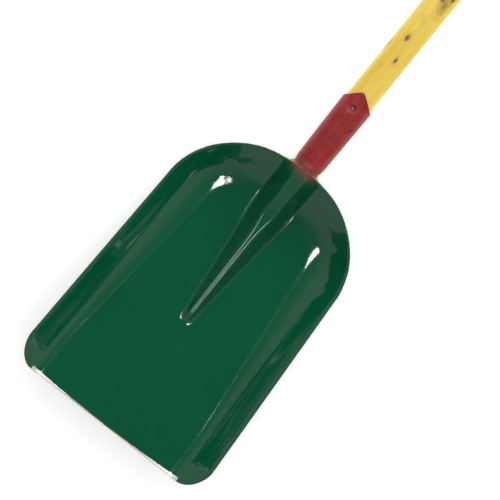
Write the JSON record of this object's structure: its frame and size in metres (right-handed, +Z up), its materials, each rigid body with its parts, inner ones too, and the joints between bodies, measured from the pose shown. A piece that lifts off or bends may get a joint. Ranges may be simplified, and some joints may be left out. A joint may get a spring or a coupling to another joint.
{
  "type": "grain scoop shovel",
  "caption": "Pressed steel scoop with flared side and back walls, a raised rib and a rolled socket, nailed onto a long round wooden pole handle.",
  "frame": {"origin": "on the ground, below the centre of the shovel's bounding box, with the shovel lying face up on the heel of its scoop and on the end of its handle", "axes": "+X across the scoop to the right as seen from above with the handle pointing away, +Y from the scoop's front edge towards the end of the handle, +Z up"},
  "size_m": [0.2812, 1.4614, 0.1473],
  "materials": {
    "green_enamel": "gloss enamel, sprayed red over the socket, bare steel at the ground front edge",
    "varnished_wood": "yellow varnish, satin",
    "painted_nail": "red paint, worn at the head"
  },
  "bodies": {
    "root": {"scoop_blade": "green_enamel", "handle": "varnished_wood", "nail_front": "painted_nail", "nail_side": "painted_nail"}
  },
  "joints": []
}
